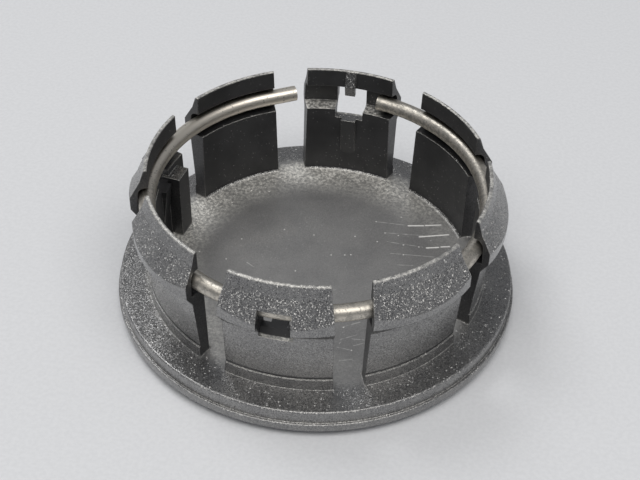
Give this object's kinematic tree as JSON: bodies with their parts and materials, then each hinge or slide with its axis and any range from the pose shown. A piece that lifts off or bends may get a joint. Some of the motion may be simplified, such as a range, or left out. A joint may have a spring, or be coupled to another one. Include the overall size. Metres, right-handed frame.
{
  "type": "wheel centre cap",
  "caption": "Round snap-in centre cap for a car wheel: domed face disc, flange and a ring of barbed clip legs tensioned by an open spring wire ring.",
  "frame": {"origin": "centre of the cap's axis on the plane of the face's flat middle, at the bottom of the bounding box", "axes": "+Z along the cap's axis, from the outer face to the clip legs, the way the cap is pushed into the wheel; +Y through the windowed leg by the gap in the wire ring; -X through the leg with the index block"},
  "size_m": [0.06, 0.06, 0.0233],
  "materials": {
    "cap_paint": "dark silver metallic flake paint over moulded plastic, bare charcoal plastic inside the legs",
    "spring_steel": "bright drawn spring wire"
  },
  "bodies": {
    "root": {"cap_body": "cap_paint", "retaining_ring": "spring_steel"}
  },
  "joints": []
}
